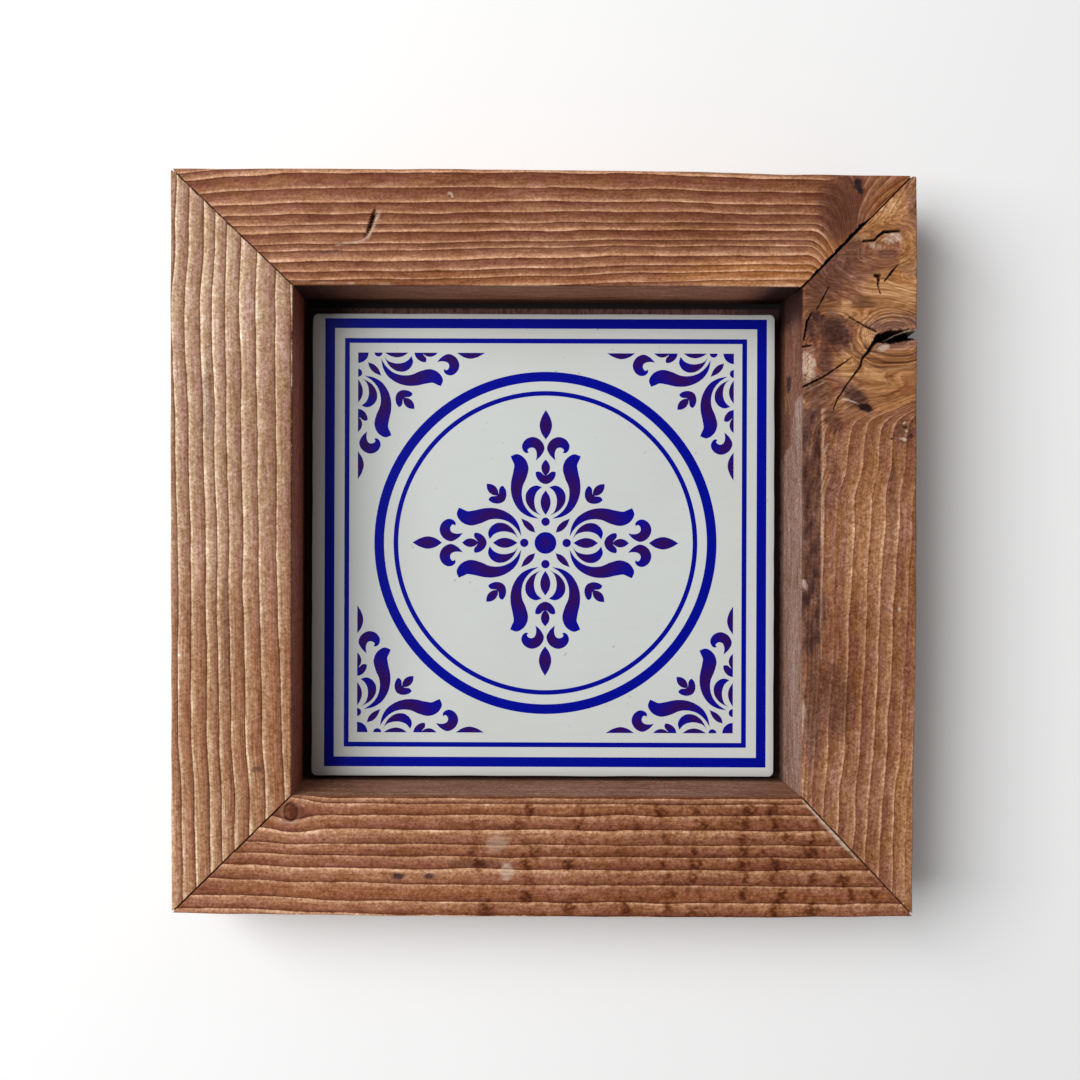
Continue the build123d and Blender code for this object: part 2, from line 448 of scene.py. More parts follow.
def stained_pine(
    name, reddish, olive, late, pores, gold, wall_dust_and_sheen, line_mm, line_strength, pore_strength, gains,
):
    """The finish of one batten, from the colours of its early wood, where the stain is redder
    and where it is greener, its late wood, the pores before each line, its clear golden wood
    and the pale layer on its wall, part dust and part painted sheen. gains says how much each
    part of the grain lightens and darkens it. The marks attribute holds how hollow, dark, pale
    and golden the wood is at each point; hollow and dark also carry the painted shade in the
    cracks, the voids and the feet and corners of the inner walls. The tone attribute holds the
    width of a ring, how faint it is, how much dust and painted sheen lies on the wall and the
    broad shade, which darkens blue more than green and green more than red."""
    material, tree, shader = new_material(name)
    ring, fibre, marks, tone = (
        add_node(tree, "ShaderNodeAttribute", props={"attribute_name": layer}).outputs
        for layer in ("ring", "fibre", "marks", "tone")
    )
    hollow, dark, pale = add_node(tree, "ShaderNodeSeparateColor", Color=marks["Color"]).outputs
    year_width, faint, dust_and_sheen = add_node(
        tree, "ShaderNodeSeparateColor", Color=tone["Color"]
    ).outputs
    golden = marks["Alpha"]
    grain = add_node(
        tree, "ShaderNodeGroup", props={"node_tree": pine_grain}, Ring=ring["Fac"],
        Year_width=year_width, Line_width=line_mm, Fibre=fibre["Vector"],
    ).outputs
    clear = maths(tree, "SUBTRACT", 1.0, faint)
    early = mixed(tree, steeper(tree, grain["Tint"], 5.0), reddish, olive)
    rusty = tuple(part * share for part, share in zip(gold, (0.78, 0.62, 0.5, 1)))
    gold = mixed(tree, steeper(tree, grain["Mottle"], 4.0), gold, rusty)
    early = mixed(tree, golden, early, gold)
    clear_lines = maths(tree, "MULTIPLY", clear, line_strength)
    wood = mixed(tree, maths(tree, "MULTIPLY", grain["Late wood"], clear_lines), early, late)
    clear_pores = maths(tree, "MULTIPLY", clear, pore_strength)
    any_pores = maths(tree, "MAXIMUM", clear_pores, maths(tree, "MULTIPLY", golden, 0.55))
    wood = mixed(tree, maths(tree, "MULTIPLY", grain["Pore line"], any_pores), wood, pores)
    fine = maths(tree, "MULTIPLY", maths(tree, "SUBTRACT", grain["Streaks"], 0.5), golden)
    shade = maths(tree, "MULTIPLY_ADD", fine, 1.3, tone["Alpha"])
    for part, gain in gains.items():
        factor = maths(tree, "MULTIPLY_ADD", grain[part], gain, 1 - gain / 2)
        shade = maths(tree, "MULTIPLY", shade, factor)
    red, green, blue = (maths(tree, "POWER", shade, power) for power in swing_powers)
    swing = add_node(tree, "ShaderNodeCombineColor", Red=red, Green=green, Blue=blue).outputs[0]
    # On the inner walls the dark mark is painted shade, so the stain colours mixed in here paint it
    # there.
    deep = maths(tree, "MULTIPLY_ADD", dark, 2.2, -1.2, clamp=True)
    stain = mixed(tree, deep, thin_stain_and_shade, deep_stain_and_shade)
    uneven = steeper(tree, grain["Mottle"], 3.0)
    stain = mixed(tree, maths(tree, "MULTIPLY", uneven, 0.35), stain, brown_stain_and_shade)
    wood = mixed(tree, maths(tree, "MULTIPLY", dark, 1.3, clamp=True), wood, stain)
    # The pale wall layer is part dust and part painted sheen.
    dust_and_sheen_share = maths(tree, "MULTIPLY", dust_and_sheen, maths(tree, "MULTIPLY_ADD", uneven, -0.3, 1.0))
    wood = mixed(tree, dust_and_sheen_share, wood, wall_dust_and_sheen)
    wood = mixed(tree, 1.0, wood, swing, "MULTIPLY")
    fibres = steeper(tree, grain["Streaks"], 3.5)
    torn = maths(tree, "MULTIPLY", pale, maths(tree, "MULTIPLY_ADD", fibres, 0.9, 0.3), clamp=True)
    wood = mixed(tree, torn, wood, torn_fibres)
    wood = mixed(tree, hollow, wood, hollow_shade)
    tree.links.new(wood, shader.inputs["Base Color"])
    rough = maths(tree, "MULTIPLY_ADD", grain["Late wood"], -0.12, 0.68)
    tree.links.new(rough, shader.inputs["Roughness"])
    shader.inputs["Specular IOR Level"].default_value = 0.12
    bump = add_node(tree, "ShaderNodeBump", Height=grain["Height"], Strength=0.4, Distance=0.0003)
    tree.links.new(bump.outputs[0], shader.inputs["Normal"])
    return material


def even_stations(length, step):
    """Shares of a length, a step apart."""
    return np.linspace(0, 1, round(length / step) + 1)


# Top batten. Eleven rings run the length of it, sink towards the tile at the left end and
# turn down into a knot at the right mitre, where a splinter has torn off and left a gap.
top_lines = np.array([-1.2, 1.9, 4.4, 7.5, 10.9, 13.0, 16.4, 18.9, 22.3, 25.7, 30.1, 35.0])
top_drift = [
    (-116, -1.0, -3.4), (-95, -0.6, -1.2), (-75, -0.3, -0.3), (-46, 0, 0), (-3, 1.3, 0),
    (30, 2.6, -0.6), (72, 3.6, -2.2), (116, 4.2, -3.2),
]
top_bend = 80.0
top_crotch = (95.6, 12.0)
hook_crack = [
    (-53.7, 102.4, 0.15), (-54.2, 100.1, 0.5), (-55.0, 97.4, 0.5), (-55.9, 95.2, 0.35),
    (-56.9, 94.0, 0.1),
]
hook_lip = [
    (-52.3, 101.6, 0.5), (-53.4, 98.6, 0.35), (-54.4, 96.4, 0.35), (-55.8, 93.6, 0.3),
    (-58.2, 92.5, 0.22), (-65.4, 91.4, 0.2),
]
nick = [(-30.9, 106.9, 0.2), (-30.5, 106.6, 0.2)]
crotch_line = [(97.0, 108.4, 0.3), (95.9, 103.0, 0.15), (95.6, 97.5, 0.2), (94.8, 93.6, 0.3)]
top_stains = [
    (95.9, 110.2, 1.4, 2.9, 20, 1.0), (92.6, 112.2, 2.6, 1.1, -20, 0.5),
    (93.6, 107.0, 1.2, 3.0, 6, 0.35), (-67.3, 89.4, 3.0, 0.5, 8, 0.5),
    (90.0, 103.0, 6.5, 9.0, 0, 0.44),
]
top_pale = [
    (-30.3, 107.3, 0.8, 0.4, -20, 0.9), (-29.9, 106.7, 0.3, 0.7, 0, 0.8),
    (-68.8, 79.6, 2.8, 0.35, 0, 0.35), (-61.0, 79.5, 1.3, 0.4, 0, 0.4),
    (-51.0, 79.5, 2.0, 0.35, 0, 0.3), (-76.5, 80.4, 2.6, 0.4, 0, 0.25),
]
top_gold = [
    (66.7, 82.8, 30, 4.6, 0, 0.9), (84.7, 86.8, 10, 5.0, 20, 0.6),
    (105.3, 106.3, 9.0, 4.0, 45, 0.5), (-20.0, 81.0, 60, 2.0, 0, 0.35),
]
top_tones = [
    (91.0, 106.0, 7.5, 10.0, 0, 0.82), (106.0, 106.5, 8.0, 4.0, 45, 0.64),
    (80.0, 105.0, 14.0, 7.0, -15, 0.85), (8.0, 97.0, 60.0, 9.0, 0, 0.9),
    (60.0, 84.0, 34.0, 5.0, 0, 1.12), (40.0, 97.0, 26.0, 4.0, 0, 0.88),
    (-90.0, 100.0, 22.0, 12.0, 0, 1.06),
]


def top_grain(u, v, z):
    """Rings of the top batten: level lines that drift and, past the bend near the knot, dip
    towards it by the square of the distance past the bend. Right of the crotch they fan out
    with the angle from upright, and bend over further out."""
    points = np.stack([u, v * 3], -1)
    level = drifted(u, v, batten_widths["top"], top_drift) + 0.16 * ripples(points, 26, 1)
    height = level
    for _ in range(3):
        past = np.maximum(u - top_bend - 0.3 * np.maximum(height - 12.0, 0), 0)
        height = level + 0.14 * past**2
    wander = 0.4 * ripples(np.stack([u, v * 0.4], -1), 7, 4)
    right, up = u - top_crotch[0], np.maximum(v - top_crotch[1], 0.5)
    angle = np.arctan2(right, up) / (np.pi / 2) - 0.013 * np.hypot(right, up)
    beyond = smoothstep(top_crotch[0] - 1.0, top_crotch[0] + 0.6, u - 0.06 * (v - 20))
    height = height + wander * smoothstep(84.0, 90.0, u)
    across = height * (1 - beyond) + (44.0 + 34.0 * angle) * beyond + 0.7 * (batten_depth - z)
    faint = smoothstep(83.5, 88.5, u) * smoothstep(2.0, 14.0, v) * 0.85
    faint = np.where(beyond > 0.5, 0.6, faint)
    return across, *ring_count(across, top_lines, 2.6, 2.6), faint


def top_marks(x, y):
    """Depths, tints and shading of the top batten."""
    crack = crack_hollow(x, y, hook_crack)
    hole = crack_hollow(x, y, nick)
    lip = smoothstep(0.18, -0.12, crack_hollow(x, y, hook_lip))
    sunk = 1.6 * smoothstep(0.1, -0.4, crack)
    # The crack and the nick are painted near-black inside, as the shade in them.
    hollow = np.maximum(0.9 * smoothstep(0.35, -0.3, crack), 0.9 * smoothstep(0.15, -0.1, hole))
    pale = np.maximum(patches(x, y, top_pale), 0.75 * lip * smoothstep(-0.1, 0.2, crack))
    stains = patches(x, y, top_stains, 0.3)
    stains = np.maximum(stains, 0.6 * smoothstep(0.4, -0.3, crack_hollow(x, y, crotch_line)))
    tints = np.stack([hollow, stains, pale, patches(x, y, top_gold)], -1)
    return sunk, tints, toned(x, y, top_tones)


def top_wall(u, z):
    """Dust and painted sheen on the wall under the top batten, and painted shade towards its foot
    and its corners.
    """
    corners = np.maximum(smoothstep(-28, -80, u), smoothstep(60, 74, u))
    return 0.75 * (1 - corners), np.maximum(0.85 * corners, 0.7 * smoothstep(17, 11, z))


tear_shares = [-0.02, 0.25, 0.4, 0.53, 0.56, 0.6]
tear_widths = [0.6, 1.1, 1.15, 1.5, 0.7, hairline_gap]


def torn_mitre(share):
    """Width of the gap at the right end of the top batten: a hairline beyond the knot, and up to
    1.5 mm along the tear."""
    tear = np.interp(share, tear_shares, tear_widths)
    rough = 1 + 0.16 * np.sin(share * 61) + 0.1 * np.sin(share * 143 + 1)
    return np.where(tear > hairline_gap, np.maximum(tear * rough, hairline_gap), hairline_gap)


rail_top = pine_batten(
    "stained_rail_top", "top", even_stations(batten_length, station_step), grain_step,
    top_grain, top_marks, top_wall, torn_mitre,
)
rail_top.data.materials.append(stained_pine(
    "stained pine, top", reddish=linear(128, 73, 56), olive=linear(132, 82, 50),
    late=linear(206, 154, 118), pores=linear(88, 42, 25), gold=linear(174, 112, 54),
    wall_dust_and_sheen=linear(206, 146, 112), line_mm=0.72, line_strength=0.95, pore_strength=0.8,
    gains={"Streaks": 1.2, "Speckle": 2.0, "Blotch": 0.7, "Mottle": 2.0, "Cloud": 1.0},
))
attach(rail_top, "root")
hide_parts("rail_top")

# Right batten. Its rings come up from the lower mitre, sweep out to the right edge and close
# round a large knot, part of which has fallen out through the edge. Drying cracks run from the
# knot, bark still lines the inner arris, and a second torn knot sits above.
right_lines = np.array([5.4, 9.4, 14.4, 19.3, 23.5, 27.8, 31.7, 35.6])
right_drift = [
    (-60, 5.0, 3.5), (-35, 5.0, 3.5), (-25, 4.4, 3.7), (-13, 0.9, 2.3), (33, 0, 0),
    (63, -1.4, -1.4), (83, -2.6, -3.3), (97, -4.2, -3.6), (116, -4.6, -3.8),
]
void_knot = (107.3, 64.1, 17.3)
torn_knot = (105.0, 92.2, 6.0)
void_chain = [(102.1, 63.0, 1.4), (105.7, 63.5, 2.2), (110.2, 63.9, 1.9), (115.2, 64.6, 1.8)]
splinter = [(105.3, 62.8, 0.1), (107.8, 64.2, 0.16), (110.9, 65.3, 0.22), (114.7, 66.0, 0.28)]
right_cracks = [
    [
        (101.5, 62.5, 0.7), (98.9, 58.6, 0.45), (97.3, 56.8, 0.3), (96.7, 54.3, 0.3),
        (93.3, 49.8, 0.22), (89.8, 44.5, 0.18), (88.3, 41.0, 0.08),
    ],
    [(78.7, 47.9, 0.26), (84.9, 50.9, 0.24), (90.6, 54.7, 0.18), (94.1, 57.2, 0.06)],
    [(93.1, 69.7, 0.1), (97.1, 67.4, 0.16), (101.5, 65.2, 0.26)],
    [
        (97.4, 93.1, 0.2), (101.0, 93.4, 0.3), (101.9, 94.6, 0.4), (103.8, 96.0, 0.45),
        (108.6, 96.3, 0.3),
    ],
    [(108.2, 85.9, 0.1), (106.0, 83.2, 0.34), (104.1, 80.8, 0.14)],
    [
        (100.9, 82.6, 0.3), (102.4, 82.3, 0.5), (102.2, 81.0, 0.4), (102.0, 79.6, 0.2),
        (102.8, 76.9, 0.1),
    ],
    [(86.8, 78.8, 0.08), (84.9, 75.1, 0.2), (83.2, 72.0, 0.1)],
    [(81.6, 70.8, 0.15), (80.2, 68.4, 0.3), (79.3, 62.9, 0.35)],
    [(79.0, 60.6, 0.4), (81.4, 60.8, 0.25)],
]
dark_rings = [
    (8.3, 1, 0.7), (6.2, 1, 0.45), (10.2, 1, 0.35), (10.0, -1, 0.65), (13.4, -1, 0.6),
    (15.4, -1, 0.35),
]
void_depth = 9.0
crack_depth = 2.6
wane_depth = 1.5


def right_grain(u, v, z):
    """Rings of the right batten: lines along it that turn at their top and rise gently to the
    outer edge, ovals close round the empty knot, slanting lines over it, and rings round the
    torn knot, all joined by the lesser of their heights. Steep lines fill the top corner."""
    points = np.stack([u, v * 3], -1)
    x, y = opening_half + v, -u
    bent = np.stack([x, y], -1)
    upright = drifted(u, v, batten_widths["right"], right_drift) + 0.2 * ripples(points, 24, 2)
    above = y - void_knot[1]
    oval = np.hypot(x - void_knot[0], 1.5 * above) - void_knot[2]
    below = 43.6 + 0.38 * (x - 112.3) - y
    under = 14.4 + 3.4 * np.maximum(below, -4.0) + 0.6 * np.minimum(below + 4.0, 0)
    over = 1.6 * (above - 6.0 + 0.2 * (x - void_knot[0])) - 8.3
    around = oval + (under - oval) * smoothstep(-7.0, -16.0, above)
    around = around + (over - around) * smoothstep(5.0, 12.0, above)
    around = around + 0.5 * ripples(bent, 15, 3) + 0.1 * ripples(bent, 5, 8)
    torn = np.hypot(x - torn_knot[0], 1.2 * (y - torn_knot[1])) - torn_knot[2]
    near_torn = smoothstep(9.0, 3.0, torn)
    across = lesser(upright, lesser(around, torn + 4 + 0.6 * ripples(bent, 9, 9), 6.0), 7.0)
    steep = 0.87 * (x - 100) - 0.5 * (y - 100)
    across = across + (steep - across) * smoothstep(95.0, 100.0, y + 0.3 * (100 - x))
    across = across + 0.75 * (batten_depth - z)
    count, year_width = ring_count(across, right_lines, 1.3, 4.0)
    faint = 0.6 * smoothstep(43.0, 50.0, y) + 0.4 * smoothstep(86.0, 83.5, x) + 0.35 * near_torn
    beside_bark = smoothstep(91.5, 89.5, x) * smoothstep(85.6, 86.4, x)
    faint = faint + 0.7 * beside_bark * smoothstep(-60.0, -40.0, y)
    faint = faint + 0.5 * smoothstep(108.6, 110.2, x) * smoothstep(40.0, 30.0, y)
    return across, -count, year_width, np.clip(faint, 0, 0.95)


right_stains = [
    (83.2, 69.6, 2.8, 2.0, -40, 0.74), (88.9, 65.2, 6.0, 4.4, -52, 0.74),
    (85.6, 66.6, 3.6, 3.8, -20, 0.6), (95.2, 44.8, 5.0, 2.5, -38, 0.7),
    (98.2, 41.8, 2.6, 1.4, -30, 1.0), (96.8, 74.3, 4.4, 1.7, -15, 0.4),
    (81.2, 66.3, 1.6, 4.0, 12, 0.7), (83.1, 46.4, 4.4, 4.2, 10, 0.5),
    (85.8, 56.6, 2.4, 5.6, 4, 0.58), (88.0, 83.0, 14.0, 5.2, 45, 0.52),
    (83.0, 76.0, 3.4, 6.0, -20, 0.4), (94.0, 90.5, 3.4, 5.0, -30, 0.5),
    (104.9, 89.3, 3.2, 1.3, 0, 0.45), (110.5, 34.2, 3.2, 3.9, 0, 0.42),
    (110.5, 35.6, 0.9, 0.5, 0, 0.8), (112.3, 32.9, 0.6, 1.1, 0, 0.75),
    (106.4, 32.0, 0.4, 0.35, 0, 0.9), (88.4, 37.6, 2.4, 4.4, 20, 0.5),
]
right_dark = [
    (82.1, -52.1, 3.0, 17, 0, 0.5), (89.2, -48.8, 5.4, 12.0, 5, 0.42),
    (112.6, 104.0, 1.6, 4.0, 0, 0.3), (88.7, 21.9, 1.6, 9.0, 12, 0.3),
    (106.7, 11.8, 1.5, 12.0, 0, 0.25), (97.7, 82.8, 8.0, 1.4, 25, 0.3),
    (85.4, -20.1, 1.2, 6.0, 5, 0.5), (87.2, 14.0, 1.6, 5.0, 0, 0.35),
    (112.2, 84.0, 3.0, 2.4, 0, 0.3), (106.5, 61.0, 6.0, 1.2, 8, 0.5),
    (106.0, 67.0, 6.0, 1.4, 6, 0.5), (105.7, -20.6, 0.8, 0.6, 0, 0.5),
]
right_pale = [
    (103.8, 60.2, 1.7, 0.9, 10, 0.9), (106.6, 94.2, 2.6, 1.7, 10, 0.75),
    (101.4, 91.6, 2.2, 0.9, -15, 0.5), (80.6, 54.6, 2.0, 5.3, 0, 0.7),
    (110.2, 36.9, 0.5, 0.3, 20, 0.9), (110.9, 34.4, 0.4, 0.4, 0, 0.8),
    (110.0, 31.9, 1.0, 0.45, -8, 0.95), (105.9, -20.2, 0.7, 0.5, 20, 0.8),
    (108.8, -20.8, 0.7, 0.4, 20, 0.8), (79.6, -13.0, 0.7, 1.6, 15, 0.7),
    (79.5, -52.5, 0.5, 3.0, 0, 0.7), (115.2, 62.8, 1.2, 0.8, 0, 0.6),
    (100.9, -104.2, 1.2, 0.5, -50, 0.8), (99.5, -108.8, 0.8, 0.6, 0, 0.7),
    (93.6, 43.7, 2.6, 0.25, -18, 0.8), (82.8, 48.1, 3.6, 0.22, 28, 0.5),
]
right_gold = [
    (107.7, 78.4, 9.5, 6.5, 0, 1.0), (106.5, 51.8, 10.5, 8.0, 0, 1.0),
    (94.6, 54.6, 5.0, 5.0, 20, 0.9), (99.7, 70.8, 9.0, 2.6, 0, 0.9), (97.6, 61.5, 3.4, 6.0, 0, 0.9),
    (102.7, 101.0, 10.0, 6.5, 45, 0.8), (111.5, 88.0, 3.0, 9.0, 0, 0.7),
    (105.7, 44.4, 9.0, 3.6, 14, 0.9), (99.7, 4.9, 6.0, 24.0, 0, 0.3),
    (111.2, -85.2, 4.0, 30.0, 0, 0.3), (92.6, 72.6, 4.6, 1.6, 50, 0.6),
]
right_tones = [
    (107.7, 45.0, 9.0, 3.0, 12, 0.75), (108.5, 56.8, 7.0, 2.0, 10, 0.62),
    (104.6, 50.6, 1.2, 4.0, 4, 0.8), (91.6, 54.0, 4.0, 6.0, 10, 1.35),
    (103.0, 52.0, 12.0, 7.0, 0, 0.8), (99.0, 77.0, 7.0, 3.6, 0, 1.15),
    (109.5, 89.0, 4.0, 5.0, 0, 0.85), (90.9, 71.8, 3.8, 1.8, 12, 1.7),
    (108.2, 76.6, 6.5, 3.4, 0, 1.3), (103.6, 104.2, 3.6, 5.6, -35, 1.3),
    (107.0, 51.8, 7.5, 2.8, 4, 1.25), (97.6, 68.8, 4.0, 1.8, -20, 1.25),
    (109.5, 81.6, 4.5, 1.5, 0, 0.75), (97.0, -20.0, 18.0, 50.0, 0, 0.94),
    (100.0, 40.0, 16.0, 6.0, 10, 0.9), (98.0, -30.0, 12.0, 14.0, 0, 0.94),
    (114.5, 10.0, 2.4, 60.0, 0, 0.92), (104.5, 101.0, 3.0, 8.0, -30, 0.85),
]
bark_line = [
    (84.9, 40.9, 0.2), (85.3, 26.5, 0.2), (84.8, 9.8, 0.24), (84.9, -12.2, 0.2),
    (84.7, -37.1, 0.12),
]
bark_branch = [(86.7, 30.4, 0.25), (85.1, 26.7, 0.3)]
wane_middle = (79.0, 57.1)
wane_reach = (3.2, 6.9)


def right_marks(x, y):
    """Depths, tints and shading of the right batten: the void through its edge with dark rings
    over and under it, the cracks, the wane where bark broke away from the inner arris, the dark
    strip of bark that is left along it, and the torn fibres of the two knots."""
    place = np.stack([x, y], -1)
    rough = ripples(place, 1.6, 11)
    void = crack_hollow(x, y, void_chain) + 0.14 * rough
    sunk = void_depth * smoothstep(0.1, -2.0, void)
    sliver = smoothstep(0.2, -0.15, crack_hollow(x, y, splinter))
    sunk = sunk * (1 - sliver) + sliver * 0.8 * smoothstep(0.1, -0.6, void)
    # The void and the cracks are painted near-black inside, as the shade in them.
    hollow = smoothstep(0.15, -0.35, void) * (1 - sliver)
    for crack in right_cracks:
        gap = crack_hollow(x, y, crack) + 0.05 * rough
        sunk = np.maximum(sunk, crack_depth * smoothstep(0.15, -0.45, gap))
        hollow = np.maximum(hollow, 0.92 * smoothstep(0.2, -0.14, gap))
    wane = np.hypot((x - wane_middle[0]) / wane_reach[0], (y - wane_middle[1]) / wane_reach[1])
    sunk = np.maximum(sunk, wane_depth * smoothstep(1.1, 0.5, wane + 0.12 * rough))
    torn = np.hypot((x - torn_knot[0]) / 4.6, (y - torn_knot[1] - 1) / 3.6)
    sunk = np.maximum(sunk, (0.3 + 0.12 * rough) * smoothstep(1.1, 0.6, torn))
    line = smoothstep(0.14, -0.14, crack_hollow(x, y, bark_line) + 0.14 * rough)
    line = np.maximum(line, smoothstep(0.14, -0.14, crack_hollow(x, y, bark_branch)))
    pale = np.maximum(patches(x, y, right_pale), 0.5 * line)
    pale = np.maximum(pale, 0.85 * sliver * smoothstep(0.3, -0.3, void))
    bark = smoothstep(-46, -30, y) * smoothstep(44, 40, y)
    bark = bark * smoothstep(84.9, 84.2, x + 0.15 * rough)
    bark = bark * (0.64 + 0.12 * ripples(place * [1.0, 0.4], 3.6, 14))
    dark = np.maximum(patches(x, y, right_stains, 0.42), patches(x, y, right_dark))
    dark = np.maximum(dark, bark)
    above = y - void_knot[1]
    from_void = np.hypot(x - void_knot[0], 1.5 * above) + 0.5 * ripples(place, 9, 12)
    for radius, side, strength in dark_rings:
        drawn = strength * smoothstep(0.8, 0.15, np.abs(from_void - radius))
        dark = np.maximum(dark, drawn * smoothstep(1.0, 4.0, side * above))
    tints = np.stack([hollow, dark, pale, patches(x, y, right_gold)], -1)
    return np.maximum(sunk, 0), tints, toned(x, y, right_tones)


def right_wall(u, z):
    """The wall inside the right batten: a pale layer, part dust and part painted sheen, from below
    the wane down, at first only near the arris; darker wood elsewhere, with bark chips beside
    the wane; and painted shade in the top corner."""
    y = -u
    edge = np.interp(y, [26, 31, 45, 47], [6, 20, 27, 40])
    edge = edge + 1.6 * ripples(np.stack([y, z], -1), 5, 13)
    wall_dust_and_sheen = 0.95 * smoothstep(edge - 1.5, edge + 1.5, z)
    chips = patches(y, z, [(50.5, 17, 3.4, 3.0, 30, 0.85), (36, 15, 9.0, 5.0, 0, 0.6)])
    return wall_dust_and_sheen, np.maximum(np.maximum(chips, 0.34) * (1 - wall_dust_and_sheen), 0.85 * smoothstep(60, 74, y))


knotted_share = 0.37
knotted_length = 84
clear_length = 145
knot_step = 0.27
clear_step = 0.95
right_stations = np.concatenate([
    even_stations(knotted_length, knot_step) * knotted_share,
    knotted_share + even_stations(clear_length, clear_step)[1:] * (1 - knotted_share),
])
stile_right = pine_batten(
    "stained_stile_right", "right", right_stations, knot_step,
    right_grain, right_marks, right_wall,
)
stile_right.data.materials.append(stained_pine(
    "stained pine, right", reddish=linear(144, 92, 73), olive=linear(144, 96, 59),
    late=linear(202, 152, 116), pores=linear(98, 50, 31), gold=linear(202, 150, 97),
    wall_dust_and_sheen=linear(152, 124, 110), line_mm=0.75, line_strength=0.85, pore_strength=0.5,
    gains={"Streaks": 1.2, "Speckle": 2.7, "Blotch": 1.4, "Mottle": 1.8, "Cloud": 1.5},
))
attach(stile_right, "root")
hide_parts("stile_right")

# Bottom batten. Nine rings run along it and dip round a small dark knot beside the left mitre.
# Filler and dark saw burns show on its face, and a line of glue in its right mitre.
bottom_lines = np.array([0.6, 2.3, 5.9, 10.3, 15.0, 18.7, 22.5, 27.4, 32.7])
bottom_drift = [
    (-116, -0.3, 0.3), (-18, 0, 0), (43, 0, -0.3), (70, 0, -1.0), (93, -0.3, -2.2),
    (116, -0.6, -2.6),
]
pin_knot = (78.7, 5.0)
pin_knot_size = (1.9, 2.7)


def bottom_grain(u, v, z):
    """Rings of the bottom batten: level lines that drift and bow out round the small knot."""
    points = np.stack([u, v * 3], -1)
    level = drifted(u, v, batten_widths["bottom"], bottom_drift) + 0.16 * ripples(points, 26, 21)
    near = np.exp(-(((u - pin_knot[0]) / 6.5) ** 2))
    push = 3.6 * near * np.tanh((v - pin_knot[1]) / 2.5) * np.exp(-np.abs(v - pin_knot[1]) / 6.0)
    across = level - push - 0.65 * (batten_depth - z)
    return across, *ring_count(across, bottom_lines, 4.2, 4.2), np.zeros(across.shape)


bottom_dark = [
    (-45.8, -103.7, 1.9, 1.1, 0, 0.8), (-36.2, -103.7, 1.7, 1.0, 0, 0.75),
    (-21.3, -99.7, 9.0, 1.2, 0, 0.35),
]
bottom_pale = [
    (-12.1, -102.2, 1.9, 2.7, 0, 0.8), (-15.2, -93.4, 3.4, 2.4, 20, 0.4),
    (-75.3, -80.9, 0.8, 1.4, 0, 0.25), (-79.4, -87.3, 3.0, 0.35, 0, 0.45),
]
glue_line = [(79.4, -80.0, 0.25), (86.4, -87.6, 0.45), (90.5, -92.0, 0.5), (95.6, -97.6, 0.2)]
bottom_gold = [
    (-51.3, -108.2, 40, 5, 0, 0.35), (58.7, -111.2, 40, 3, 0, 0.4), (-1.3, -84.2, 60, 2.5, 0, 0.25),
]
bottom_tones = [
    (78.0, -96.0, 34.0, 14.0, 0, 0.83), (10.0, -92.0, 30.0, 10.0, 0, 0.88),
    (-70.0, -104.0, 40.0, 12.0, 0, 1.12), (-79.0, -84.0, 1.9, 2.7, 0, 0.55),
]
burn_places = [-21.0, -6.0, 8.5, 25.2, 37.2, 47.1, 61.3, 71.8, 82.3, 92.9, 101.0]
burn_rows = [4.1, 8.2, 12.8, 17.0, 20.7, 25.1, 30.2, 34.8]


def burnt(x, y):
    """Dark blotches where the saw rubbed: at each place along the batten some of the bands of
    early wood have one, of a random size, turn and strength, and flecked. Small dark clumps lie
    between them, more of them to the right."""
    draw = np.random.default_rng(22)
    spots = []
    for place in burn_places:
        for row in burn_rows:
            wide, tall = draw.uniform(0.9, 2.2), draw.uniform(1.4, 2.6)
            strength = 1.5 * draw.uniform(0.2, 1.0) ** 1.5
            across, up = place + draw.normal(0, 1.4), -opening_half - row + draw.normal(0, 0.3)
            spots.append((across, up, wide, tall, draw.uniform(-30, 30), strength))
    flecks = 0.75 + 0.55 * ripples(np.stack([0.6 * x, y], -1), 1.2, 23)
    clumps = smoothstep(0.35, 1.0, ripples(np.stack([0.7 * x, y], -1), 2.0, 24))
    between = 0.34 * clumps * smoothstep(-60, 40, x) * smoothstep(-79.5, -82.5, y)
    return np.clip(patches(x, y, spots, 0.7) * np.clip(flecks, 0.1, 1.4) + between, 0, 0.76)


def bottom_marks(x, y):
    """Depths, tints and shading of the bottom batten."""
    knot = np.hypot((x + 79.0) / pin_knot_size[0], (y + 84.0) / pin_knot_size[1])
    rim = smoothstep(0.24, 0.0, np.abs(knot - 1.0))
    hollow = 0.75 * rim
    halo = 0.16 * smoothstep(0.3, 0.0, np.abs(knot - 1.4))
    glue = smoothstep(0.3, -0.15, crack_hollow(x, y, glue_line))
    pale = np.maximum(np.maximum(patches(x, y, bottom_pale), halo), glue)
    tints = [hollow, patches(x, y, bottom_dark), pale, patches(x, y, bottom_gold)]
    return 0.35 * rim, np.stack(tints, -1), toned(x, y, bottom_tones) * (1 - burnt(x, y))


def bottom_wall(u, z):
    """Dust and painted sheen on the wall over the bottom batten, and painted shade towards its
    foot.
    """
    return 0.5 + 0 * u, 0.4 * smoothstep(16, 11, z)


